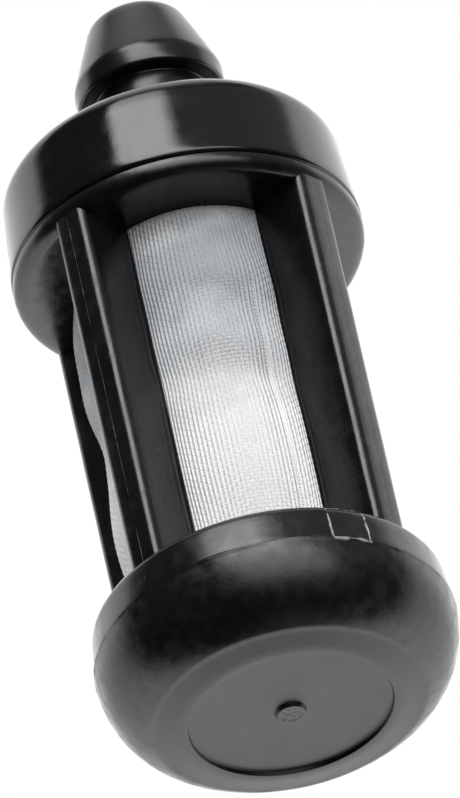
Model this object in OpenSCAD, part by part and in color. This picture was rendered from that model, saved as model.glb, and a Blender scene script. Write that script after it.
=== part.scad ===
// In-tank fuel filter for a small two-stroke engine.
// The axis is Z, with the hose nipple up. The origin is the centre of the flat base.

/* [Overall] */
// Length from the flat base to the nipple tip
overall_length = 38.5; // [36:0.1:60]
// Diameter of the base at the seam, where it is widest
base_diameter = 16.35; // [16:0.05:24]
// Diameter of the head at its lower rim
head_diameter = 16.15; // [15.9:0.05:24]

/* [Base cup] */
// Height of the seam between the base cup and the cage
seam_height = 3.75; // [2:0.05:3.8]
// Radius of the flat the filter stands on
foot_radius = 5.1; // [5:0.1:7]
// Radius of the round recess in the base
recess_radius = 4.65; // [2:0.05:4.9]
// Depth of the round recess
recess_depth = 0.2; // [0.1:0.05:0.5]
// Radius of the pip in the middle of the recess
pip_radius = 0.66; // [0.2:0.02:1.5]
// Thickness of the base cup's floor above the recess
cup_floor = 0.85; // [0.5:0.05:1.2]
// Width of the tab that locks the base cup to the cage
tab_width = 1.85; // [1:0.05:4]
// Angle of the tab about the axis
tab_angle = -19.5; // [-40:0.5:40]

/* [Cage] */
// Number of fins
fin_count = 4; // [3:1:6]
// Thickness of a fin
fin_thickness = 1.84; // [1.2:0.02:3]
// Distance from the axis to a fin's outer face
fin_radius = 7.92; // [7.2:0.02:8]
// Height of the bottom ring's top edge
ring_top = 5.8; // [5.75:0.05:10]
// Height of the flange's flat underside
lip_bottom = 24.4; // [15:0.05:26]
// Height of the flange's lip, which shows below the head
lip_height = 0.9; // [0.8:0.01:1.2]
// Radius of the rounding on the lip's lower edge
lip_rounding = 0.65; // [0.3:0.05:0.8]
// Depth of the pocket in the flange that holds the top of the filter pack
pocket_depth = 1.5; // [1:0.1:3]

/* [Head and nipple] */
// Height of the head's side wall
head_height = 4.8; // [3.5:0.02:8]
// Radius of the rounding on the head's top edge
head_rounding = 1.2; // [0.2:0.05:1.5]
// How much narrower the head is at its top, on the radius
head_draft = 0.4; // [0:0.05:1]
// Radius of the nipple's neck
neck_radius = 2.65; // [1.5:0.05:3.3]
// Radius of the barb
barb_radius = 3.4; // [2.7:0.05:6]
// Length of the barb from its land to the tip
barb_length = 4.45; // [2:0.05:8]
// Radius of the fuel outlet
bore_radius = 1.2; // [0.5:0.05:2]

/* [Filter pack] */
// Outer radius of the mesh sleeve where the cage holds it
sleeve_radius = 5.05; // [4:0.05:6]
// Thickness of the mesh sleeve
sleeve_thickness = 0.3; // [0.1:0.05:1]
// How far the sleeve bulges outward between the fins
sleeve_bulge = 1.05; // [0:0.05:1.5]
// Outer radius of the core tube
core_radius = 2.3; // [1.5:0.05:4]
// Wall of the core tube
core_wall = 0.6; // [0.4:0.05:1.5]
// Radius of a hole in the core tube
core_hole_radius = 0.6; // [0.3:0.05:1]
// Rows of holes in the core tube
core_hole_rows = 5; // [2:1:8]

/* [Hidden] */
$fn = 96;

overlap = 0.1;
base_radius = base_diameter / 2;
head_radius = head_diameter / 2;
head_bottom = lip_bottom + lip_height;
head_top = head_bottom + head_height;
head_wall = 0.5;
fin_top = head_bottom - 0.3;
spigot_radius = head_radius - head_wall - 0.05;
pack_top = lip_bottom + pocket_depth;
flange_top = pack_top + 0.55;
flange_radius = head_radius - 0.05;
chamber_radius = head_radius - 1.5;
chamber_top = head_top - 1.45;
socket_bottom = flange_top - 0.3;
cavity_radius = 6.1;
cup_spigot_radius = 6.9;
ring_inner = cup_spigot_radius + 0.05;
cup_spigot_top = seam_height + 1.05;
floor_bottom = ring_top - 0.9;
disc_thickness = 0.8;
pack_radius = sleeve_radius - sleeve_thickness;
felt_bottom = ring_top + disc_thickness;
felt_top = pack_top - disc_thickness;
core_top = socket_bottom - 0.6;
land_height = 1.0;
barb_bottom = overall_length - barb_length;

BLACK_PLASTIC = [0.07, 0.07, 0.075];
NATURAL_PLASTIC = [0.78, 0.78, 0.74];
NYLON = [0.9, 0.92, 0.94];
FELT = [0.95, 0.95, 0.93];
RUBBER = [0.12, 0.12, 0.13];
STEEL = [0.6, 0.61, 0.63];

// A flat ring from one radius to another, standing on z.
module ring(inner, outer, z, height) {
    translate([0, 0, z])
        difference() {
            cylinder(r = outer, h = height);
            translate([0, 0, -overlap])
                cylinder(r = inner, h = height + 2 * overlap);
        }
}

// Points on a quarter ellipse from its widest point down to its lowest.
function quarter_ellipse(centre, width, height, steps) =
    [for (i = [0:steps]) [centre[0] + width * cos(90 * i / steps),
                          centre[1] - height * sin(90 * i / steps)]];

// The nipple's outline: neck, barb with a short land, and a rounded tip.
module nipple_outline() {
    tip_rounding = 0.9;
    tip_radius = 2.4;
    tip_centre = [tip_radius - tip_rounding, overall_length - tip_rounding];
    polygon([[0, head_top - head_rounding],
             [neck_radius, head_top - head_rounding],
             [neck_radius, barb_bottom],
             [barb_radius, barb_bottom],
             [barb_radius, barb_bottom + land_height],
             [tip_radius - 0.03, tip_centre[1] + 0.2],
             [tip_centre[0], overall_length],
             [0, overall_length]]);
    translate(tip_centre)
        circle(r = tip_rounding);
}

// The head's outline: a tapered wall with a rounded top edge.
module head_outline() {
    top_radius = head_radius - head_draft;
    polygon([[0, head_bottom],
             [head_radius, head_bottom],
             [top_radius, head_top - head_rounding],
             [top_radius - head_rounding, head_top],
             [0, head_top]]);
    translate([top_radius - head_rounding, head_top - head_rounding])
        circle(r = head_rounding);
}

// Cap with the barbed hose nipple. Its inner socket feeds the outlet bore.
module nipple_head() {
    color(BLACK_PLASTIC)
        difference() {
            union() {
                difference() {
                    rotate_extrude()
                        head_outline();
                    translate([0, 0, head_bottom - overlap])
                        cylinder(r = head_radius - head_wall, h = flange_top - head_bottom + overlap);
                    translate([0, 0, head_bottom])
                        cylinder(r = chamber_radius, h = chamber_top - head_bottom);
                }
                rotate_extrude()
                    nipple_outline();
                translate([0, 0, socket_bottom])
                    cylinder(r = core_radius, h = chamber_top - socket_bottom + overlap);
            }
            translate([0, 0, socket_bottom - overlap])
                cylinder(r = bore_radius, h = overall_length - socket_bottom + 2 * overlap);
        }
}

// The bottom ring's outline, widest at the seam and rounded at its top edge.
module bottom_ring_outline(low = seam_height) {
    rounding = 0.6;
    polygon([[ring_inner, low],
             [base_radius, low],
             [fin_radius, ring_top - rounding],
             [fin_radius - rounding, ring_top],
             [ring_inner, ring_top]]);
    translate([fin_radius - rounding, ring_top - rounding])
        circle(r = rounding);
}

// One fin, with its outer edges rounded. It is open inward, where the filter pack stands.
module fin() {
    edge = 0.5;
    half = fin_thickness / 2;
    translate([0, 0, floor_bottom])
        linear_extrude(height = fin_top - floor_bottom) {
            translate([0, -half])
                square([fin_radius - edge, fin_thickness]);
            translate([0, edge - half])
                square([fin_radius, fin_thickness - 2 * edge]);
            for (side = [-1, 1])
                translate([fin_radius - edge, side * (half - edge)])
                    circle(r = edge);
        }
}

// The flange's outline: a lip with a rounded lower edge, a spigot for the head and a pocket for the pack.
module flange_outline() {
    hole = core_radius + 0.05;
    rounding_centre = [flange_radius - lip_rounding, lip_bottom + lip_rounding];
    polygon([[sleeve_radius, lip_bottom],
             [rounding_centre[0], lip_bottom],
             [flange_radius, rounding_centre[1]],
             [flange_radius, head_bottom],
             [spigot_radius, head_bottom],
             [spigot_radius, flange_top],
             [hole, flange_top],
             [hole, pack_top],
             [sleeve_radius, pack_top]]);
    intersection() {
        translate(rounding_centre)
            circle(r = lip_rounding);
        translate([0, lip_bottom])
            square([flange_radius, lip_height]);
    }
}

// The sector of the bottom ring that the base cup's tab fills.
module tab_block() {
    rotate([0, 0, tab_angle])
        translate([ring_inner - overlap, -tab_width / 2, seam_height - 2 * overlap])
            cube([base_radius, tab_width, ring_top - seam_height + 3 * overlap]);
}

// Cage: flange, fins and bottom ring, moulded as one.
module cage() {
    color(BLACK_PLASTIC)
        difference() {
            union() {
                rotate_extrude()
                    bottom_ring_outline();
                translate([0, 0, floor_bottom])
                    cylinder(r = ring_inner + overlap, h = ring_top - floor_bottom);
                for (i = [0:fin_count - 1])
                    rotate([0, 0, i * 360 / fin_count])
                        difference() {
                            fin();
                            translate([0, 0, ring_top])
                                cylinder(r = sleeve_radius, h = lip_bottom);
                        }
                rotate_extrude()
                    flange_outline();
            }
            tab_block();
        }
}

// The base cup's outline, a shallow bowl that rises to the seam.
module cup_outline() {
    bowl = quarter_ellipse([foot_radius, seam_height], base_radius - foot_radius, seam_height, 16);
    polygon(concat([[0, seam_height]], bowl, [[0, 0]]));
}

// Base cup: recess and pip below, ballast cavity and spigot above, and one locking tab.
module base_cup() {
    cavity_floor = recess_depth + cup_floor;
    color(BLACK_PLASTIC) {
        difference() {
            rotate_extrude()
                cup_outline();
            translate([0, 0, cavity_floor])
                cylinder(r = cavity_radius, h = seam_height);
            ring(pip_radius, recess_radius, -overlap, recess_depth + overlap);
        }
        ring(cavity_radius, cup_spigot_radius, seam_height - overlap, cup_spigot_top - seam_height + overlap);
        intersection() {
            rotate_extrude()
                bottom_ring_outline(seam_height - overlap);
            tab_block();
        }
    }
}

// The sleeve's outline where it is free to bulge between the fins.
module bulge_outline() {
    steps = 24;
    low = ring_top + 0.05;
    high = lip_bottom - 0.15;
    outer = [for (i = [0:steps])
                let (t = i / steps)
                [sleeve_radius - 0.02 + sleeve_bulge * pow(sin(180 * t), 0.45), low + (high - low) * t]];
    polygon(concat([[pack_radius, low]], outer, [[pack_radius, high]]));
}

// Mesh sleeve: a thin tube, baggy in each window of the cage.
module mesh_sleeve() {
    window_margin = fin_thickness + 0.3;
    color(NYLON) {
        ring(pack_radius, sleeve_radius, ring_top, pack_top - ring_top);
        difference() {
            rotate_extrude()
                bulge_outline();
            for (i = [0:fin_count - 1])
                rotate([0, 0, i * 360 / fin_count])
                    translate([0, -window_margin / 2, 0])
                        cube([base_radius, window_margin, lip_bottom]);
            translate([0, 0, ring_top])
                cylinder(r = pack_radius, h = lip_bottom);
        }
    }
}

// Felt element: the depth filter between the mesh and the core tube.
module felt_element() {
    color(FELT)
        ring(core_radius, pack_radius, felt_bottom, felt_top - felt_bottom);
}

// Core tube: perforated, so that clean fuel reaches the outlet.
module core_tube() {
    bottom = felt_bottom;
    pitch = (felt_top - felt_bottom) / core_hole_rows;
    color(NATURAL_PLASTIC)
        difference() {
            ring(core_radius - core_wall, core_radius, bottom, core_top - bottom);
            for (row = [0:core_hole_rows - 1])
                for (turn = [0, 90])
                    translate([0, 0, felt_bottom + pitch * (row + 0.5)])
                        rotate([0, 90, turn + 45 * (row % 2)])
                            cylinder(r = core_hole_radius, h = 3 * core_radius, center = true, $fn = 32);
        }
}

// Upper end disc: closes the felt's top and centres the core tube.
module upper_end_disc() {
    color(NATURAL_PLASTIC)
        ring(core_radius, pack_radius, felt_top, disc_thickness);
}

// Lower end disc: closes the felt's bottom and plugs the core tube.
module lower_end_disc() {
    color(NATURAL_PLASTIC) {
        translate([0, 0, ring_top])
            cylinder(r = pack_radius, h = disc_thickness);
        translate([0, 0, felt_bottom - overlap])
            cylinder(r = core_radius - core_wall, h = 1.2);
    }
}

// Outlet seal: a rubber ring between the core tube and the head's socket.
module outlet_seal() {
    ring_section = (socket_bottom - core_top) / 2;
    color(RUBBER)
        translate([0, 0, core_top + ring_section])
            rotate_extrude()
                translate([core_radius - core_wall / 2, 0])
                    circle(r = ring_section, $fn = 32);
}

// Ballast weight: the steel slug that holds the filter at the bottom of the tank.
module ballast_weight() {
    bottom = recess_depth + cup_floor;
    chamfer = 0.3;
    radius = cavity_radius - 0.1;
    top = floor_bottom - 0.1;
    color(STEEL)
        rotate_extrude()
            polygon([[0, bottom],
                     [radius - chamfer, bottom],
                     [radius, bottom + chamfer],
                     [radius, top - chamfer],
                     [radius - chamfer, top],
                     [0, top]]);
}

nipple_head();
cage();
base_cup();
mesh_sleeve();
felt_element();
core_tube();
upper_end_disc();
lower_end_disc();
outlet_seal();
ballast_weight();
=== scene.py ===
"""In-tank fuel filter: detailed meshes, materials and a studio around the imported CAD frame."""
import math
import random

import bmesh
import bpy
from mathutils import Matrix, Vector, noise


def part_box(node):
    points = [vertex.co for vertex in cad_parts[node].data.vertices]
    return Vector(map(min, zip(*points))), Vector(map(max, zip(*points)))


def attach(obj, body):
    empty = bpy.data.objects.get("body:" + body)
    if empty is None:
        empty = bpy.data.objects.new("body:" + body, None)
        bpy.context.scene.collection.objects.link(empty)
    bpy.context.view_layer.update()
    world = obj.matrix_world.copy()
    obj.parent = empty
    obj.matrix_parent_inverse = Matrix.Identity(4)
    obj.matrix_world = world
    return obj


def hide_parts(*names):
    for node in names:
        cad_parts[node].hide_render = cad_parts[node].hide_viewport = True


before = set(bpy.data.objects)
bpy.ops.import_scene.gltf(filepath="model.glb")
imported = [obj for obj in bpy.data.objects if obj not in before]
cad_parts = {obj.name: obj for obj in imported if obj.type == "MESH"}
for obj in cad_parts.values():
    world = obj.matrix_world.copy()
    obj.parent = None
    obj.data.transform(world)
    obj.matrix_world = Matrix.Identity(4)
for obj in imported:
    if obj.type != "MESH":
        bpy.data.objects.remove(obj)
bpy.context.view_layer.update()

MM = 0.001
SHARP_ANGLE = 35


def span(node):
    """A CAD node's lowest and highest corners in millimetres."""
    low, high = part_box(node)
    return low / MM, high / MM


# ---------------------------------------------------------------- dimensions, in millimetres

BASE_RADIUS = span("base_cup")[1].x
SEAM = span("cage")[0].z
CAVITY_FLOOR = span("ballast_weight")[0].z
BALLAST_CLEARANCE = 0.1
CAVITY_RADIUS = span("ballast_weight")[1].x + BALLAST_CLEARANCE
CUP_TOP = span("base_cup")[1].z
RING_TOP = span("mesh_sleeve")[0].z
PACK_TOP = span("mesh_sleeve")[1].z
FLANGE_TOP = span("cage")[1].z
HEAD_BOTTOM = span("nipple_head")[0].z
HEAD_RADIUS = span("nipple_head")[1].x
TIP = span("nipple_head")[1].z
CORE_RADIUS = span("core_tube")[1].x
FELT_RADIUS = span("felt_element")[1].x
FELT_BOTTOM = span("felt_element")[0].z
FELT_TOP = span("felt_element")[1].z

FIN_COUNT = 4
FIN_INNER = 5.02
FIN_OUTER = 7.92
FIN_THICKNESS = 1.84
LIP_BOTTOM = HEAD_BOTTOM - 0.9
HEAD_TOP = HEAD_BOTTOM + 4.8
BARB_BOTTOM = TIP - 4.45
NECK_RADIUS = 2.65
BARB_RADIUS = 3.4
BARB_LAND = 1.0
BORE_RADIUS = 1.2
RECESS_RADIUS = 4.65
FOOT_RADIUS = BASE_RADIUS - 3.2
RECESS_DEPTH = 0.2
TAB_ANGLE = -19.5
TAB_WIDTH = 1.85
TAB_TOP = RING_TOP - 0.12
SPIGOT_INNER = 6.95
RIM_ROUNDING = 0.6
SLEEVE_RADIUS = 5.05
SLEEVE_TOP = LIP_BOTTOM - 0.03


# ---------------------------------------------------------------- outlines

def rounded(corners, steps=6):
    """A closed outline from corners (r, z) or (r, z, rounding), with an arc at each rounding."""
    outline = []
    for index, corner in enumerate(corners):
        point = Vector(corner[:2])
        radius = corner[2] if len(corner) > 2 else 0
        if not radius:
            outline.append(point)
            continue
        before = (Vector(corners[index - 1][:2]) - point).normalized()
        after = (Vector(corners[(index + 1) % len(corners)][:2]) - point).normalized()
        half_angle = before.angle(after) / 2
        centre = point + (before + after).normalized() * radius / math.sin(half_angle)
        start = point + before * radius / math.tan(half_angle) - centre
        turn = start.angle_signed(point + after * radius / math.tan(half_angle) - centre)
        for step in range(steps + 1):
            outline.append(centre + Matrix.Rotation(-turn * step / steps, 2) @ start)
    return outline


def refined(outline):
    """The same closed outline with its long stretches split up."""
    longest = 0.4
    points = []
    for index, point in enumerate(outline):
        start, end = Vector(point), Vector(outline[(index + 1) % len(outline)])
        pieces = max(1, math.ceil((end - start).length / longest))
        points += [start.lerp(end, piece / pieces) for piece in range(pieces)]
    return points


def between(start, end, steps):
    """Evenly spaced values from start to end."""
    return [start + (end - start) * step / steps for step in range(steps + 1)]


def ellipse_arc(centre, half_width, half_height, start, end, steps):
    """Points on an ellipse between two angles in degrees, where 0 is its widest point."""
    points = []
    for degrees in between(start, end, steps):
        angle = math.radians(degrees)
        across, up = half_width * math.cos(angle), half_height * math.sin(angle)
        points.append((centre[0] + across, centre[1] + up))
    return points


# ---------------------------------------------------------------- mesh helpers

def finish_mesh(name, vertices, faces, sharp_angle=SHARP_ANGLE):
    """An object from vertices in millimetres, shaded smooth with sharp edges kept."""
    mesh = bpy.data.meshes.new(name)
    mesh.from_pydata([Vector(v) for v in vertices], [], faces)
    work = bmesh.new()
    work.from_mesh(mesh)
    bmesh.ops.recalc_face_normals(work, faces=work.faces)
    work.to_mesh(mesh)
    work.free()
    mesh.shade_smooth()
    mesh.set_sharp_from_angle(angle=math.radians(sharp_angle))
    piece = bpy.data.objects.new(name, mesh)
    bpy.context.scene.collection.objects.link(piece)
    return piece


def lathe(name, outline, segments=256, start=0, end=360, wobble=None):
    """Turns a closed outline of (r, z) points about Z, whole or between two angles in degrees.

    wobble(r, z, angle) gives the (r, z) that a point moves to, with its angle in radians.
    """
    whole = end - start >= 360
    columns = segments if whole else segments + 1
    vertices, rings = [], []
    for r, z in outline:
        ring = []
        for column in range(columns):
            if r < 1e-6 and ring:
                ring.append(ring[0])
                continue
            angle = math.radians(start + (end - start) * column / segments)
            radius, height = wobble(r, z, angle) if wobble else (r, z)
            ring.append(len(vertices))
            vertices.append((radius * math.cos(angle), radius * math.sin(angle), height))
        rings.append(ring)
    faces = []
    for ring, following in zip(rings, rings[1:] + rings[:1]):
        for column in range(segments):
            beside = (column + 1) % columns
            corners = [ring[column], ring[beside], following[beside], following[column]]
            face = list(dict.fromkeys(corners))
            if len(face) > 2:
                faces.append(face)
    if not whole:
        faces.append([ring[0] for ring in rings])
        faces.append([ring[-1] for ring in reversed(rings)])
    return finish_mesh(name, vertices, faces)


def prism(name, outline, bottom, top, levels=1, wobble=None):
    """Stands a closed outline of (x, y) points up between two heights.

    wobble(x, y, z) gives the place that a point moves to.
    """
    count = len(outline)
    vertices = []
    for level in range(levels + 1):
        z = bottom + (top - bottom) * level / levels
        for x, y in outline:
            vertices.append(wobble(x, y, z) if wobble else (x, y, z))
    faces = [list(range(count)), list(range(levels * count, (levels + 1) * count))]
    for level in range(levels):
        for index in range(count):
            low = level * count
            beside = (index + 1) % count
            faces.append([low + index, low + beside, low + count + beside, low + count + index])
    return finish_mesh(name, vertices, faces)


def combine(name, parts, operation="UNION"):
    """One closed mesh from the first part and the others, joined or cut by a boolean."""
    body = parts[0]
    for other in parts[1:]:
        step = body.modifiers.new(operation, "BOOLEAN")
        step.operation = operation
        step.solver = "MANIFOLD"
        step.object = other
    evaluated = body.evaluated_get(bpy.context.evaluated_depsgraph_get())
    mesh = bpy.data.meshes.new_from_object(evaluated)
    for part in parts:
        bpy.data.objects.remove(part)
    mesh.name = name
    mesh.shade_smooth()
    mesh.set_sharp_from_angle(angle=math.radians(SHARP_ANGLE))
    piece = bpy.data.objects.new(name, mesh)
    bpy.context.scene.collection.objects.link(piece)
    return piece


def turned(piece, degrees):
    """Turns a piece's mesh about Z."""
    piece.data.transform(Matrix.Rotation(math.radians(degrees), 4, "Z"))
    return piece


def ripple(x, y, z, scale, seed=0.0):
    """Smooth noise from -1 to 1 at a place in millimetres, with bumps about one scale apart."""
    return noise.noise(Vector((x / scale + seed, y / scale - seed, z / scale + 2 * seed)))


# ---------------------------------------------------------------- node helpers

class Graph:
    """Adds nodes to one node tree. An input is a plain value or another node's output."""

    def __init__(self, tree):
        self.tree = tree
        tree.nodes.clear()

    def add(self, kind, inputs, **settings):
        """A node of one kind, with its settings made and its inputs set or linked."""
        node = self.tree.nodes.new("ShaderNode" + kind)
        for key, value in settings.items():
            setattr(node, key, value)
        self.connect(node, inputs)
        return node

    def connect(self, node, inputs):
        """Sets or links a node's inputs."""
        for key, value in inputs.items():
            if isinstance(value, bpy.types.NodeSocket):
                self.tree.links.new(value, node.inputs[key])
            else:
                node.inputs[key].default_value = value

    def millimetres(self):
        """Object coordinates in millimetres."""
        place = self.add("TexCoord", {}).outputs["Object"]
        return self.add("VectorMath", {0: place, "Scale": 1 / MM}, operation="SCALE").outputs[0]

    def noise(self, place, scale, detail, stretch=(1, 1, 1)):
        """Noise from 0 to 1, with scale in bumps per millimetre."""
        moved = self.add("VectorMath", {0: place, 1: stretch}, operation="MULTIPLY").outputs[0]
        inputs = {"Vector": moved, "Scale": scale, "Detail": detail}
        return self.add("TexNoise", inputs).outputs["Fac"]

    def remap(self, value, low, high, to_low=0.0, to_high=1.0, smooth=False):
        """A value mapped from one range to another, held at its ends."""
        inputs = {"Value": value, "From Min": low, "From Max": high,
                  "To Min": to_low, "To Max": to_high}
        kind = "SMOOTHSTEP" if smooth else "LINEAR"
        return self.add("MapRange", inputs, interpolation_type=kind).outputs["Result"]

    def ramp(self, value, stops):
        """A level from 0 to 1 that follows a value through (value, level) stops."""
        low, high = stops[0][0], stops[-1][0]
        node = self.add("ValToRGB", {"Fac": self.remap(value, low, high)})
        elements = node.color_ramp.elements
        while len(elements) < len(stops):
            elements.new(0.5)
        for element, (place, level) in zip(elements, stops):
            element.position = (place - low) / (high - low)
            element.color = (level, level, level, 1)
        return node.outputs["Color"]

    def math(self, operation, first, second=0.0):
        """The result of one operation on two values."""
        return self.add("Math", {0: first, 1: second}, operation=operation).outputs[0]

    def mix(self, share, first, second):
        """A colour between two colours."""
        node = self.add("MixRGB", {"Fac": share, "Color1": first, "Color2": second})
        return node.outputs["Color"]

    def bump(self, height, distance, strength=1.0, normal=None):
        """A normal that a height field tilts; distance is the field's depth in millimetres."""
        inputs = {"Height": height, "Distance": distance * MM, "Strength": strength}
        if normal:
            inputs["Normal"] = normal
        return self.add("Bump", inputs).outputs["Normal"]


def new_material(name):
    """A material, its graph and its shader."""
    material = bpy.data.materials.new(name)
    material.use_nodes = True
    graph = Graph(material.node_tree)
    shader = graph.add("BsdfPrincipled", {})
    graph.add("OutputMaterial", {"Surface": shader.outputs["BSDF"]})
    return material, graph, shader


# ---------------------------------------------------------------- materials

def black_plastic(name, gloss, grain, mottle, dull_radius=0.0):
    """Moulded black nylon: flow marks, grain, hair scratches, scuffs and a duller middle."""
    material, graph, shader = new_material(name)
    place = graph.millimetres()
    cloud = graph.noise(place, 0.35, 4.0)
    flow = graph.noise(place, 1.2, 3.0, stretch=(1, 1, 0.12))
    fine = graph.noise(place, 14.0, 2.0)
    scratch = graph.remap(graph.noise(place, 2.2, 2.0, stretch=(6, 6, 0.25)), 0.66, 0.74)
    scuff = graph.remap(graph.noise(place, 1.6, 6.0), 0.38, 0.68)
    tone = graph.mix(cloud, (0.0035, 0.0033, 0.0036, 1), (0.0075, 0.0071, 0.0074, 1))
    tone = graph.mix(graph.math("MULTIPLY", scratch, 0.12), tone, (0.05, 0.048, 0.047, 1))
    rough = graph.remap(cloud, 0.3, 0.7, gloss - 0.03, gloss + 0.04)
    rough = graph.math("ADD", rough, graph.remap(flow, 0.4, 0.8, 0.0, 0.04))
    if dull_radius:
        across = graph.add("VectorMath", {0: place, 1: (1, 1, 0)}, operation="MULTIPLY").outputs[0]
        radius = graph.add("VectorMath", {0: across}, operation="LENGTH").outputs["Value"]
        middle = graph.remap(radius, dull_radius, dull_radius + 0.1, 1.0, 0.0)
        rough = graph.math("ADD", rough, graph.math("MULTIPLY", middle, 0.14))
        scuff = graph.math("MULTIPLY", scuff, graph.math("SUBTRACT", 1.0, middle))
    rough = graph.math("ADD", rough, graph.math("MULTIPLY", scuff, mottle))
    normal = graph.bump(cloud, 0.04, 0.3)
    normal = graph.bump(flow, 0.008, 0.5, normal)
    normal = graph.bump(scuff, 0.045 * mottle, 0.6, normal)
    normal = graph.bump(fine, grain, 0.6, normal)
    graph.connect(shader, {"Base Color": tone, "Roughness": rough, "Normal": normal, "IOR": 1.5})
    return material


def flash_plastic():
    """Thin stretched flash: the same nylon, stress-whitened to a mottled grey."""
    material, graph, shader = new_material("flash_plastic")
    place = graph.millimetres()
    mottle = graph.noise(place, 3.0, 4.0)
    tone = graph.mix(graph.remap(mottle, 0.35, 0.65), (0.05, 0.05, 0.05, 1), (0.46, 0.46, 0.45, 1))
    rough = graph.remap(mottle, 0.3, 0.7, 0.35, 0.55)
    normal = graph.bump(graph.noise(place, 12.0, 2.0), 0.01, 0.6)
    graph.connect(shader, {"Base Color": tone, "Roughness": rough, "Normal": normal, "IOR": 1.5})
    return material


def nylon_cloth(name, tint):
    """White nylon cloth: soft sheen, twisted yarn, and painted blue-grey shade higher up the
    sleeve.
    """
    material, graph, shader = new_material(name)
    place = graph.millimetres()
    cloud = graph.noise(place, 0.5, 3.0)
    twist = graph.noise(place, 9.0, 2.0)
    height = graph.add("SeparateXYZ", {0: place}).outputs["Z"]
    height = graph.math("ADD", height, graph.remap(cloud, 0.3, 0.7, -1.0, 1.0))
    # Painted shade: the cloth is darkened and turned blue-grey higher up, towards the flange.
    painted_shade = graph.ramp(height, ((12.6, 0.0), (14.5, 0.32), (16, 0.53), (18, 0.62), (19.3, 0.95),
                                (20.5, 1.0), (22.3, 1.0), (23.3, 0.7), (24.4, 0.4)))
    tone = graph.mix(cloud, tint, (0.88, 0.885, 0.885, 1))
    tone = graph.mix(graph.remap(twist, 0.45, 0.75, 0.0, 0.25), tone, (0.72, 0.74, 0.76, 1))
    tone = graph.mix(painted_shade, tone, (0.40, 0.43, 0.46, 1))
    rough = graph.remap(twist, 0.3, 0.7, 0.6, 0.8)
    normal = graph.bump(twist, 0.01, 0.5)
    graph.connect(shader, {"Base Color": tone, "Roughness": rough, "Normal": normal, "IOR": 1.38,
                           "Sheen Weight": 0.08, "Sheen Roughness": 0.4})
    return material


def felt_fibre():
    """Off-white needled felt: matted fibres, and painted shade in small pores."""
    material, graph, shader = new_material("felt_fibre")
    place = graph.millimetres()
    fibres = graph.noise(place, 6.0, 6.0, stretch=(1, 1, 0.35))
    pore_shade = graph.remap(graph.noise(place, 2.5, 4.0), 0.55, 0.8)
    tone = graph.mix(fibres, (0.72, 0.71, 0.67, 1), (0.92, 0.91, 0.88, 1))
    # Painted shade darkens the small pores.
    tone = graph.mix(graph.math("MULTIPLY", pore_shade, 0.5), tone, (0.5, 0.48, 0.44, 1))
    rough = graph.remap(fibres, 0.3, 0.7, 0.85, 0.98)
    normal = graph.bump(fibres, 0.08, 0.8)
    graph.connect(shader, {"Base Color": tone, "Roughness": rough, "Normal": normal,
                           "Sheen Weight": 0.3})
    return material


def natural_plastic():
    """Unpigmented nylon of the inner parts: milky, slightly waxy, with faint flow clouds."""
    material, graph, shader = new_material("natural_plastic")
    place = graph.millimetres()
    cloud = graph.noise(place, 0.6, 4.0)
    fine = graph.noise(place, 10.0, 2.0)
    tone = graph.mix(cloud, (0.66, 0.64, 0.56, 1), (0.80, 0.79, 0.73, 1))
    rough = graph.remap(cloud, 0.3, 0.7, 0.35, 0.5)
    normal = graph.bump(fine, 0.006, 0.5, graph.bump(cloud, 0.04, 0.3))
    graph.connect(shader, {"Base Color": tone, "Roughness": rough, "Normal": normal,
                           "Subsurface Weight": 0.25, "Subsurface Radius": (0.001, 0.0009, 0.0007)})
    return material


def seal_rubber():
    """Nitrile rubber: nearly black, matt, with talc clouds."""
    material, graph, shader = new_material("seal_rubber")
    place = graph.millimetres()
    talc = graph.remap(graph.noise(place, 1.5, 5.0), 0.45, 0.75)
    fine = graph.noise(place, 16.0, 2.0)
    talc_share = graph.math("MULTIPLY", talc, 0.4)
    tone = graph.mix(talc_share, (0.018, 0.018, 0.019, 1), (0.09, 0.09, 0.09, 1))
    rough = graph.remap(talc, 0.0, 1.0, 0.55, 0.8)
    normal = graph.bump(fine, 0.008)
    graph.connect(shader, {"Base Color": tone, "Roughness": rough, "Normal": normal})
    return material


def turned_steel():
    """Turned steel of the ballast slug: rings left by the tool, with faint tarnish."""
    material, graph, shader = new_material("turned_steel")
    place = graph.millimetres()
    rings = graph.add("TexWave", {"Vector": place, "Scale": 3.0, "Distortion": 0.6, "Detail": 2.0},
                      wave_type="RINGS", rings_direction="Z").outputs["Fac"]
    tarnish = graph.remap(graph.noise(place, 0.8, 5.0), 0.45, 0.75)
    tone = graph.mix(tarnish, (0.56, 0.56, 0.57, 1), (0.36, 0.33, 0.30, 1))
    rough = graph.remap(rings, 0, 1, 0.22, 0.34)
    rough = graph.math("ADD", rough, graph.math("MULTIPLY", tarnish, 0.2))
    graph.connect(shader, {"Base Color": tone, "Roughness": rough, "Metallic": 1.0,
                           "Normal": graph.bump(rings, 0.01)})
    return material


# ---------------------------------------------------------------- nipple head

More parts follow.
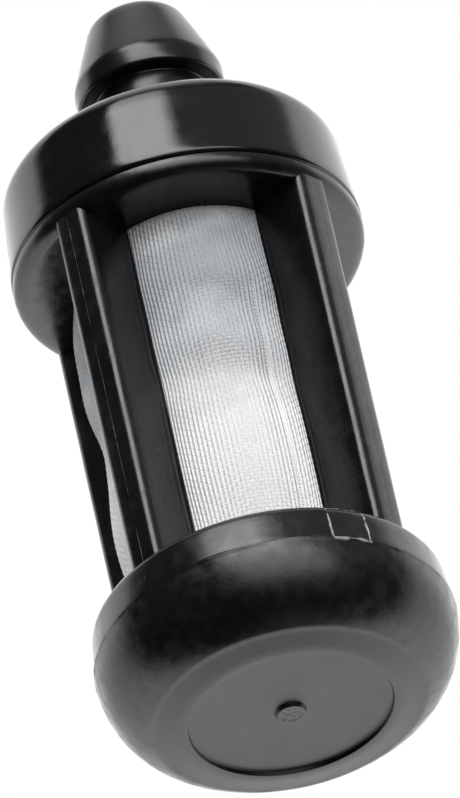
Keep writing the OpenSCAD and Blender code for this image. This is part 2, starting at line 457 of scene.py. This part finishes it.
def nipple_head():
    """Cap and barbed nipple in one: tapered wall, rounded top, neck, land, cone and bore."""
    head_wall_top = HEAD_RADIUS - 0.4
    spigot_hole = HEAD_RADIUS - 0.5
    chamber_radius = HEAD_RADIUS - 1.5
    chamber_top = HEAD_TOP - 1.45
    tip_corner = BORE_RADIUS + 0.92
    outline = refined(rounded([
        (HEAD_RADIUS - 0.02, HEAD_BOTTOM + 0.02, 0.2),
        (head_wall_top, HEAD_TOP, 1.15),
        (NECK_RADIUS, HEAD_TOP, 0.25),
        (NECK_RADIUS, BARB_BOTTOM, 0.1),
        (BARB_RADIUS - 0.02, BARB_BOTTOM, 0.16),
        (BARB_RADIUS + 0.02, BARB_BOTTOM + BARB_LAND, 1.0),
        (tip_corner, TIP, 0.84),
        (BORE_RADIUS, TIP, 0.03),
        (BORE_RADIUS, FLANGE_TOP - 0.3),
        (CORE_RADIUS, FLANGE_TOP - 0.3),
        (CORE_RADIUS, chamber_top),
        (chamber_radius, chamber_top),
        (chamber_radius, FLANGE_TOP),
        (spigot_hole, FLANGE_TOP),
        (spigot_hole, HEAD_BOTTOM + 0.02),
    ]))

    def sink(r, z, angle):
        """The wall draws in a little where the moulding shrank."""
        depth = 0.012 * ripple(r * math.cos(angle), r * math.sin(angle), z, 3.0, 4.0)
        return (r + depth, z) if r > NECK_RADIUS - 0.1 else (r, z)

    return lathe("nipple_head_shell", outline, wobble=sink)


# ---------------------------------------------------------------- cage

def ring_radius(z):
    """The bottom ring's outer radius at a height."""
    low, high = BASE_RADIUS - 0.02, FIN_OUTER + 0.02
    centre = RING_TOP - RIM_ROUNDING
    if z < centre:
        return low + (high - low) * (z - SEAM) / (RING_TOP - SEAM)
    return high - RIM_ROUNDING + math.sqrt(max(0.0, RIM_ROUNDING ** 2 - (z - centre) ** 2))


def ring_corners():
    """The bottom ring's outer corners, with their roundings."""
    return [(BASE_RADIUS - 0.02, SEAM + 0.05, 0.05), (FIN_OUTER + 0.02, RING_TOP, RIM_ROUNDING)]


def bottom_ring():
    """Bottom ring with the floor that carries the filter pack."""
    floor = RING_TOP - 0.9
    inside = [(0, floor), (SPIGOT_INNER, floor), (SPIGOT_INNER, SEAM + 0.05)]
    outline = refined(rounded(inside + ring_corners() + [(0, RING_TOP)], steps=10))

    def drift(r, z, angle):
        """The parting edge wanders slightly up and down."""
        shift = 0.02 * ripple(r * math.cos(angle), r * math.sin(angle), 0, 1.3, 9.0)
        return (r, z + shift) if z < SEAM + 0.12 and r > SPIGOT_INNER + 0.1 else (r, z)

    return lathe("ring", outline, wobble=drift)


def flange():
    """Top flange: lip with a broad rounding, flat underside, pocket for the pack, and a spigot."""
    spigot = HEAD_RADIUS - 0.55
    lip_outer = HEAD_RADIUS - 0.05
    lip_top = HEAD_BOTTOM - 0.06
    outline = rounded([
        (CORE_RADIUS + 0.05, PACK_TOP),
        (SLEEVE_RADIUS, PACK_TOP),
        (SLEEVE_RADIUS, LIP_BOTTOM, 0.06),
        (lip_outer, LIP_BOTTOM, 0.62),
        (lip_outer, lip_top, 0.06),
        (spigot, lip_top),
        (spigot, FLANGE_TOP),
        (CORE_RADIUS + 0.05, FLANGE_TOP),
    ], steps=8)
    return lathe("flange", refined(outline))


def fin(number):
    """One fin with rounded outer edges, whose faces shrank a hair unevenly."""
    half = FIN_THICKNESS / 2
    edge = 0.42
    outline = refined(rounded([
        (FIN_INNER, -half),
        (FIN_OUTER, -half, edge),
        (FIN_OUTER, half, edge),
        (FIN_INNER, half),
    ]))

    def shrink(x, y, z):
        """A few hundredths of waviness, kept off the faces that other parts meet."""
        if x < FIN_INNER + 0.1:
            return (x, y, z)
        return (x + 0.006 * ripple(number, y, z, 2.0), y + 0.008 * ripple(x, number, z, 2.5, y), z)

    body = prism("fin", outline, RING_TOP - 0.6, HEAD_BOTTOM - 0.3, levels=60, wobble=shrink)
    return turned(body, 360 / FIN_COUNT * number)


def cage():
    """Cage: ring, fins and flange as one moulding, with a pocket for the base cup's tab."""
    fins = [fin(number) for number in range(FIN_COUNT)]
    body = combine("cage_body", [bottom_ring(), flange()] + fins)
    half = TAB_WIDTH / 2
    inner, outer = SPIGOT_INNER + 0.02, 9
    sector = [(inner, -half), (outer, -half), (outer, half), (inner, half)]
    pocket = prism("pocket", sector, SEAM - 1, TAB_TOP)
    return combine("cage_frame", [body, turned(pocket, TAB_ANGLE)], operation="DIFFERENCE")


# ---------------------------------------------------------------- base cup

def cup_shell():
    """Base cup: pip, recess, narrow foot, bowl, a wavy lip at the seam, spigot and cavity."""
    bowl_centre = (BASE_RADIUS - 3.05, SEAM)
    bowl_width = BASE_RADIUS - bowl_centre[0] + 0.02
    crease = (FOOT_RADIUS + 1.2, 0.27)
    lip = BASE_RADIUS + 0.035
    pip = [(0.08 * step, 0) for step in range(7)]
    outline = rounded(pip + [
        (0.63, 0, 0.06),
        (0.74, RECESS_DEPTH, 0.03),
        (RECESS_RADIUS - 0.05, RECESS_DEPTH, 0.05),
        (RECESS_RADIUS + 0.01, 0, 0.03),
        (FOOT_RADIUS, 0),
        crease,
    ])
    outline += ellipse_arc(bowl_centre, bowl_width, SEAM, -68.1, -1.5, 40)
    outline += [(lip, SEAM - 0.03), (lip, SEAM + 0.02), (BASE_RADIUS - 0.03, SEAM + 0.03)]
    outline += [(SPIGOT_INNER - 0.05, SEAM + 0.03), (SPIGOT_INNER - 0.05, CUP_TOP - 0.95)]
    outline += [(CAVITY_RADIUS, CUP_TOP - 0.95), (CAVITY_RADIUS, CAVITY_FLOOR), (0, CAVITY_FLOOR)]

    def waver(r, z, angle):
        """The lip at the seam is uneven, and the pip's face is torn where the gate broke off."""
        if r < 0.57 and z < 0.1:
            return (r, z + 0.03 + 0.03 * ripple(math.cos(angle) * r, math.sin(angle) * r, 1, 0.12))
        if r > BASE_RADIUS + 0.03:
            x, y = math.cos(angle) * r, math.sin(angle) * r
            return (r + 0.03 * ripple(x, y, 0, 0.8), z + 0.025 * ripple(x, y, 3, 1.1))
        return (r, z)

    return lathe("cup", refined(outline), segments=384, wobble=waver)


def tab():
    """Locking tab: a sector that fills the ring's pocket."""
    half = math.degrees(math.asin(TAB_WIDTH / 2 / BASE_RADIUS)) - 0.12
    inner = SPIGOT_INNER + 0.03
    low = [(inner, SEAM - 0.05), (BASE_RADIUS, SEAM - 0.05)]
    outline = rounded(low + [ring_corners()[1], (inner, TAB_TOP)], steps=10)
    return lathe("tab", refined(outline), segments=12, start=TAB_ANGLE - half, end=TAB_ANGLE + half)


def base_cup():
    """The base cup with its tab."""
    return combine("base_cup_shell", [cup_shell(), tab()])


# ---------------------------------------------------------------- thin strands: flash and threads

def strands(name, paths, closed=False):
    """Four-sided strands along paths of (point, side, lift); side and lift are half widths."""
    vertices, faces = [], []
    for path in paths:
        first = len(vertices)
        for point, side, lift in path:
            vertices += [point + side, point + lift, point - side, point - lift]
        links = len(path) if closed else len(path) - 1
        for link in range(links):
            low = first + 4 * link
            high = first + 4 * ((link + 1) % len(path))
            for corner in range(4):
                beside = (corner + 1) % 4
                faces.append([low + corner, low + beside, high + beside, high + corner])
        if not closed:
            last = len(vertices) - 4
            faces.append([first + corner for corner in range(4)])
            faces.append([last + corner for corner in range(4)])
    return finish_mesh(name, vertices, faces, sharp_angle=120)


def flash_line(places, width, seed):
    """One wandering line of flash through (radius, degrees, height), thick here and thin there."""
    path = []
    for index, (radius, degrees, z) in enumerate(places):
        angle = math.radians(degrees)
        before = places[max(index - 1, 0)]
        after = places[min(index + 1, len(places) - 1)]
        run = Vector((radius * math.radians(after[1] - before[1]), after[2] - before[2]))
        run.normalize()
        tangent = Vector((-math.sin(angle), math.cos(angle), 0))
        side = tangent * -run.y + Vector((0, 0, run.x))
        lift = Vector((math.cos(angle), math.sin(angle), 0))
        wander = 0.6 * width * ripple(radius * angle, z, seed, 0.45)
        size = width * (0.75 + 0.7 * ripple(radius * angle, z, seed + 5, 0.5))
        size = max(size, 0.15 * width)
        point = lift * radius + Vector((0, 0, z)) + side * wander
        path.append((point, side * size, lift * size))
    return path


def moulding_flash():
    """Flash round the tab, on the rim beside it and down each fin."""
    side_width, foot_width, rim_width, fin_width = 0.07, 0.12, 0.055, 0.005
    rim_end = 22
    half = math.degrees(math.asin(TAB_WIDTH / 2 / BASE_RADIUS))
    left, right = TAB_ANGLE - half, TAB_ANGLE + half
    seam = SEAM - 0.03
    lines = []
    for side, seed in ((left, 2.0), (right, 3.0)):
        places = [(ring_radius(z), side, z) for z in between(seam, TAB_TOP, 40)]
        lines.append(flash_line(places, side_width, seed=seed))
    foot = [(BASE_RADIUS, degrees, seam) for degrees in between(left, right, 40)]
    lines.append(flash_line(foot, foot_width, seed=4.0))
    rim = [(ring_radius(TAB_TOP), degrees, TAB_TOP) for degrees in between(left, rim_end, 90)]
    lines.append(flash_line(rim, rim_width, seed=6.0))
    for number in range(FIN_COUNT):
        degrees = 360 / FIN_COUNT * number
        places = [(max(FIN_OUTER, ring_radius(min(z, TAB_TOP))), degrees, z)
                  for z in between(seam, LIP_BOTTOM, 240)]
        lines.append(flash_line(places, fin_width, seed=10.0 + number))
    return strands("moulding_flash", lines)


# ---------------------------------------------------------------- mesh sleeve

# Folds and creases of the sleeve. Depths are in millimetres, and the rest are shares of a window
# or of a fold. The front window is the one that faces the photograph, with the deepest folds.
FRONT_WINDOW = 3
LOBE_HEIGHT = 1.35
LOBE_SINK = 0.2
WAIST_DEPTH = 0.45
WAIST_REACH = 0.17
DEEP_FOLD = 0.13
SHALLOW_FOLD = 0.04
FOLD_SPACING = 0.207
FOLD_START = 0.83
FOLD_SLOPE = 0.07
FOLD_SHIFT = 0.3
CREASE_DEPTH = 0.19
CREASE_REACH = 0.06
CREASE_PLACE = 0.81
CREASE_SLOPE = 0.06
PLEAT_SPACING = 0.07

# The cloth lies just inside the sleeve's surface. The upright threads (warp) and the level ones
# (weft) have a count, half widths and half depths, and weave in and out of the surface.
CLOTH_DEPTH = 0.006
WARP_COUNT = 168
WARP_HALF_WIDTH = 0.08
WARP_HALF_DEPTH = 0.047
WARP_SWAY = 0.009
WEFT_COUNT = 104
WEFT_HALF_WIDTH = 0.065
WEFT_HALF_DEPTH = 0.033
WEFT_SINK = 0.015
WEFT_RISE = 0.003


def bulge(angle, z):
    """How far the sleeve stands out: nothing at the fins, and two soft lobes in each window."""
    window = 360 / FIN_COUNT
    margin = math.degrees(math.asin(FIN_THICKNESS / 2 / SLEEVE_RADIUS)) / window
    degrees = math.degrees(angle) % 360
    number = int(degrees // window)
    across = (degrees % window / window - margin) / (1 - 2 * margin)
    if not 0 < across < 1:
        return 0.0
    along = (z - RING_TOP) / (SLEEVE_TOP - RING_TOP)
    if not 0 < along < 1:
        return 0.0
    openness = math.sin(math.pi * across) ** 0.6
    ends = math.sin(math.pi * along) ** 0.5
    waist = 1 - WAIST_DEPTH * math.exp(-((along - 0.5) / WAIST_REACH) ** 2)
    fade = min(1.0, max(0.15, (along - 0.38) / 0.1))
    turns = (along + FOLD_SLOPE * across - FOLD_START) / FOLD_SPACING
    turns += FOLD_SHIFT * (number - FRONT_WINDOW)
    fold_depth = DEEP_FOLD if number == FRONT_WINDOW else SHALLOW_FOLD
    fold = fold_depth * fade * math.cos(2 * math.pi * turns)
    offset = across - CREASE_PLACE + CREASE_SLOPE * along
    pleats = 1 + 0.5 * math.cos(2 * math.pi * offset / PLEAT_SPACING)
    crease_fade = min(1.0, max(0.0, (0.8 - along) / 0.15))
    crease = -CREASE_DEPTH * math.exp(-(offset / CREASE_REACH) ** 2) * pleats * crease_fade
    return openness * ends * (LOBE_HEIGHT * waist - LOBE_SINK + fold + crease)


def cloth_point(angle, z, lift):
    """A place on the sleeve's surface, lifted along its radius."""
    radius = SLEEVE_RADIUS + bulge(angle, z) + lift
    return Vector((radius * math.cos(angle), radius * math.sin(angle), z))


def sleeve_cloth():
    """The sleeve's own sheet: one thin baggy tube behind its threads."""
    columns, rows = 288, 110
    vertices, faces = [], []
    for row in range(rows + 1):
        z = RING_TOP + 0.02 + (SLEEVE_TOP - RING_TOP - 0.05) * row / rows
        for column in range(columns):
            vertices.append(cloth_point(2 * math.pi * column / columns, z, -CLOTH_DEPTH))
    for row in range(rows):
        for column in range(columns):
            beside = (column + 1) % columns
            low = row * columns
            high = low + columns
            faces.append([low + column, low + beside, high + beside, high + column])
    return finish_mesh("mesh_sleeve_cloth", vertices, faces, sharp_angle=80)


def weave_row(row):
    """The height of one weft thread. The first and last stay just inside the sleeve's ends."""
    return RING_TOP + 0.05 + (SLEEVE_TOP - RING_TOP - 0.12) * row / (WEFT_COUNT - 1)


def warp_threads():
    """Upright threads, which pass in front of and behind the level ones in turn."""
    dice = random.Random(11)
    paths = []
    for column in range(WARP_COUNT):
        angle = 2 * math.pi * (column + 0.5) / WARP_COUNT
        lean = dice.uniform(-0.002, 0.002)
        path = []
        for row in range(WEFT_COUNT):
            z = weave_row(row)
            here = angle + lean + 0.003 * ripple(angle * 5, 0, z, 2.0)
            sway = WARP_SWAY if (row + column) % 2 else -WARP_SWAY
            if row == WEFT_COUNT - 1:
                z += dice.uniform(-0.06, 0.02)
            side = Vector((-math.sin(here), math.cos(here), 0)) * WARP_HALF_WIDTH
            lift = Vector((math.cos(here), math.sin(here), 0)) * WARP_HALF_DEPTH
            path.append((cloth_point(here, z, sway), side, lift))
        paths.append(path)
    return strands("mesh_sleeve_warp", paths)


def weft_threads():
    """Level threads, thinner than the upright ones."""
    paths = []
    for row in range(WEFT_COUNT):
        path = []
        for column in range(WARP_COUNT):
            angle = 2 * math.pi * (column + 0.5) / WARP_COUNT
            z = weave_row(row) + 0.02 * ripple(angle * 5, 2, row, 1.5)
            sway = -WEFT_SINK if (row + column) % 2 else WEFT_RISE
            side = Vector((0, 0, WEFT_HALF_WIDTH))
            lift = Vector((math.cos(angle), math.sin(angle), 0)) * WEFT_HALF_DEPTH
            path.append((cloth_point(angle, z, sway), side, lift))
        paths.append(path)
    return strands("mesh_sleeve_weft", paths, closed=True)


# ---------------------------------------------------------------- felt element

def felt_element():
    """Felt tube: a lumpy, slightly flattened wall with a lap where the strip ends."""
    inner, outer = CORE_RADIUS, FELT_RADIUS - 0.04
    edge_rounding, edge_steps, wall_steps = 0.25, 4, 60
    outline = rounded([
        (inner, FELT_BOTTOM),
        (outer, FELT_BOTTOM, edge_rounding),
        (outer, FELT_TOP, edge_rounding),
        (inner, FELT_TOP),
    ], steps=edge_steps)
    wall = 2 + edge_steps
    low, high = outline[wall - 1], outline[wall]
    outline[wall:wall] = [low.lerp(high, step / wall_steps) for step in range(1, wall_steps)]

    def matted(r, z, angle):
        """Matting lifts and sinks the wall, and the lap steps it by the strip's edge."""
        x, y = r * math.cos(angle), r * math.sin(angle)
        if r < inner + 0.1:
            return (r, z)
        lap = -0.12 * max(0.0, 1 - angle / math.radians(14))
        return (r - 0.03 + 0.03 * ripple(x, y, z, 0.5) + lap, z)

    return lathe("felt_tube", outline, wobble=matted)


# ---------------------------------------------------------------- studio

# Camera angles are in degrees, and its lens, distance and shifts are in millimetres.
CAMERA_AZIMUTH = 38.0
CAMERA_ELEVATION = -34.6
CAMERA_ROLL = 12.81
LENS = 950.0
CAMERA_DISTANCE = 932.0
FRAME_RIGHT = -2.72
FRAME_UP = 13.97


def view_axes():
    """Horizontal right and towards-camera directions of the photograph's view."""
    turn = math.radians(CAMERA_AZIMUTH)
    right = Vector((math.cos(turn), math.sin(turn), 0))
    towards = Vector((math.sin(turn), -math.cos(turn), 0))
    return right, towards


def add_camera():
    """A long lens from below the object's level, rolled so that the object leans to the left."""
    right, towards = view_axes()
    tilt = math.radians(CAMERA_ELEVATION)
    back = towards * math.cos(tilt) + Vector((0, 0, math.sin(tilt)))
    upright = back.cross(right)
    roll = math.radians(CAMERA_ROLL)
    side = right * math.cos(roll) - upright * math.sin(roll)
    up = right * math.sin(roll) + upright * math.cos(roll)
    place = (side * FRAME_RIGHT + up * FRAME_UP + back * CAMERA_DISTANCE) * MM
    data = bpy.data.cameras.new("camera")
    data.lens = LENS
    data.sensor_width = 36.0
    camera = bpy.data.objects.new("camera", data)
    camera.matrix_world = Matrix((
        (side.x, up.x, back.x, place.x),
        (side.y, up.y, back.y, place.y),
        (side.z, up.z, back.z, place.z),
        (0, 0, 0, 1)))
    bpy.context.scene.collection.objects.link(camera)
    bpy.context.scene.camera = camera


def surround_light(graph, elevation, rightward):
    """Level of the white surround behind the object, brightest well below the horizon."""
    height = graph.ramp(elevation, ((-90, 0.22), (-76, 0.4), (-62, 0.76), (-35, 1.0), (-10, 0.74),
                                    (14, 0.56), (26, 0.74), (40, 0.71), (90, 0.6)))
    return graph.math("MULTIPLY", height, graph.remap(rightward, -0.6, 0.6, 2.02, 2.32))


def fill_light(graph, elevation, azimuth):
    """Level of the dim fill in front of the object, stronger at the right and overhead."""
    height = graph.ramp(elevation, ((-76, 0.9), (-50, 0.1), (-10, 0.1), (20, 0.6), (35, 1.0),
                                    (50, 1.0), (60, 0.4)))
    fill = graph.math("MULTIPLY", graph.remap(azimuth, -10, 20, 0.03, 0.32), height)
    return graph.math("ADD", fill, graph.remap(elevation, 62, 85, 0.0, 1.6))


def box_light(graph, elevation, azimuth):
    """Level of the tall soft box, whose left and right edges follow the elevation."""
    reach, strength = 60, 7.2
    left = graph.ramp(elevation, ((-16, 0.1), (1, 0.17), (18, 0.3), (32, 0.35), (42, 0.55)))
    right = graph.ramp(elevation, ((-16, 0.75), (1, 0.73), (18, 0.7), (32, 0.4), (42, 0.15)))
    height = graph.ramp(elevation, ((-30, 0.0), (-15, 0.05), (0, 0.33), (18, 0.5), (33, 0.95),
                                    (45, 1.0), (50, 0.62), (58, 0.5), (66, 0.0)))
    from_left = graph.math("ADD", azimuth, graph.math("MULTIPLY", left, reach))
    from_right = graph.math("SUBTRACT", azimuth, graph.math("MULTIPLY", right, reach))
    box = graph.math("MULTIPLY", graph.remap(from_left, -3, 3, 0, 1, smooth=True),
                     graph.remap(from_right, -7, 7, 1, 0, smooth=True))
    return graph.math("MULTIPLY", graph.math("MULTIPLY", box, height), strength)


def add_studio_light():
    """White surround behind the object, one tall soft box in front of it, and dim fill elsewhere.

    Azimuth is measured to the right of the photograph's view, and elevation from the horizon, both
    in degrees. The camera sees plain white instead of the lights.
    """
    surround_dimming = 0.42
    world = bpy.data.worlds.new("studio")
    world.use_nodes = True
    bpy.context.scene.world = world
    graph = Graph(world.node_tree)
    direction = graph.add("TexCoord", {}).outputs["Generated"]

    def along(axis):
        """How far the ray's direction points along an axis."""
        product = graph.add("VectorMath", {0: direction, 1: axis}, operation="DOT_PRODUCT")
        return product.outputs["Value"]

    def in_degrees(angle):
        """An angle that was in radians."""
        return graph.math("MULTIPLY", angle, 180 / math.pi)

    right, towards = view_axes()
    azimuth = in_degrees(graph.math("ARCTAN2", along(right), along(towards)))
    elevation = in_degrees(graph.math("ARCSINE", along(Vector((0, 0, 1)))))
    behind = graph.remap(along(towards), -0.04, -0.22, 0.0, 1.0, smooth=True)
    in_front = graph.math("SUBTRACT", 1.0, behind)
    surround = graph.math("MULTIPLY", behind, surround_light(graph, elevation, along(right)))
    fill = graph.math("MULTIPLY", in_front, fill_light(graph, elevation, azimuth))
    level = graph.math("ADD", surround, fill)
    level = graph.math("ADD", level, box_light(graph, elevation, azimuth))

    ray = graph.add("LightPath", {})
    dimming = graph.math("MULTIPLY", behind, surround_dimming)
    dimming = graph.math("MULTIPLY", ray.outputs["Is Diffuse Ray"], dimming)
    level = graph.math("MULTIPLY", level, graph.math("SUBTRACT", 1.0, dimming))
    studio = graph.add("Background", {"Color": (1.0, 0.99, 0.985, 1), "Strength": level})
    plain = graph.add("Background", {"Color": (1, 1, 1, 1), "Strength": 1.0})
    seen = ray.outputs["Is Camera Ray"]
    mixed = graph.add("MixShader", {"Fac": seen, 1: studio.outputs[0], 2: plain.outputs[0]})
    graph.add("OutputWorld", {"Surface": mixed.outputs[0]})


def add_floor():
    """Pale floor that fades into the white surround and is clear from below."""
    radius, fade_start, fade_end = 120, 25, 100
    corners = 96
    turns = [2 * math.pi * step / corners for step in range(corners)]
    edge = [Vector((radius * math.cos(turn), radius * math.sin(turn), 0)) for turn in turns]
    floor = finish_mesh("floor", edge, [list(range(corners))])
    floor.data.transform(Matrix.Scale(MM, 4))
    if floor.data.polygons[0].normal.z < 0:  # a lone face can come out facing down
        floor.data.flip_normals()
    material, graph, shader = new_material("pale_floor")
    place = graph.millimetres()
    distance = graph.add("VectorMath", {0: place}, operation="LENGTH").outputs["Value"]
    grain = graph.noise(place, 0.5, 3.0)
    tone = graph.mix(grain, (0.86, 0.86, 0.86, 1), (0.9, 0.9, 0.9, 1))
    rough = graph.remap(grain, 0, 1, 0.7, 0.8)
    graph.connect(shader, {"Base Color": tone, "Roughness": rough})
    clear = graph.add("BsdfTransparent", {})
    fade = graph.remap(distance, fade_start, fade_end, 0.0, 1.0, smooth=True)
    below = graph.add("NewGeometry", {}).outputs["Backfacing"]
    hidden = graph.math("MAXIMUM", fade, below)
    shown = graph.add("MixShader", {"Fac": hidden, 1: shader.outputs[0], 2: clear.outputs[0]})
    output = next(node for node in graph.tree.nodes if node.type == "OUTPUT_MATERIAL")
    graph.connect(output, {"Surface": shown.outputs["Shader"]})
    floor.data.materials.append(material)
    floor.visible_diffuse = False
    floor.visible_glossy = False
    floor.visible_shadow = False


# ---------------------------------------------------------------- assembly

def install(piece, material, slot, *nodes):
    """Scales a piece to metres, gives it material and body, hides replaced CAD nodes; slot is not
    used.
    """
    piece.data.transform(Matrix.Scale(MM, 4))
    piece.data.materials.clear()
    piece.data.materials.append(material)
    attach(piece, "root")
    if nodes:
        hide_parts(*nodes)
    return piece


def dress(node, material):
    """Gives a kept CAD node a better material."""
    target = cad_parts[node]
    target.data.materials.clear()
    target.data.materials.append(material)


def build():
    """Makes every piece and puts it in the frame."""
    head_finish = black_plastic("black_plastic_head", gloss=0.09, grain=0.002, mottle=0.06,
                                dull_radius=NECK_RADIUS + 1.5)
    install(nipple_head(), head_finish, "black_plastic", "nipple_head")
    cage_finish = black_plastic("black_plastic_cage", gloss=0.18, grain=0.004, mottle=0.10)
    install(cage(), cage_finish, "black_plastic", "cage")
    base_finish = black_plastic("black_plastic_base", gloss=0.19, grain=0.009, mottle=0.16,
                                dull_radius=FOOT_RADIUS + 1.05)
    install(base_cup(), base_finish, "black_plastic", "base_cup")
    install(moulding_flash(), flash_plastic(), "black_plastic")
    yarn = nylon_cloth("nylon_yarn", tint=(0.88, 0.885, 0.89, 1))
    warp = install(warp_threads(), yarn, "nylon_mesh")
    weft = install(weft_threads(), yarn, "nylon_mesh")
    # The ground cloth is a little darker than the yarn: painted shade in the gaps between the
    # threads.
    shaded_ground = nylon_cloth("nylon_ground_painted_shade", tint=(0.83, 0.835, 0.84, 1))
    cloth = install(sleeve_cloth(), shaded_ground, "nylon_mesh", "mesh_sleeve")
    install(felt_element(), felt_fibre(), "felt", "felt_element")
    for node in ("core_tube", "upper_end_disc", "lower_end_disc"):
        dress(node, natural_plastic())
    dress("outlet_seal", seal_rubber())
    dress("ballast_weight", turned_steel())


build()
add_camera()
add_studio_light()
add_floor()
bpy.context.scene.view_settings.view_transform = "Standard"
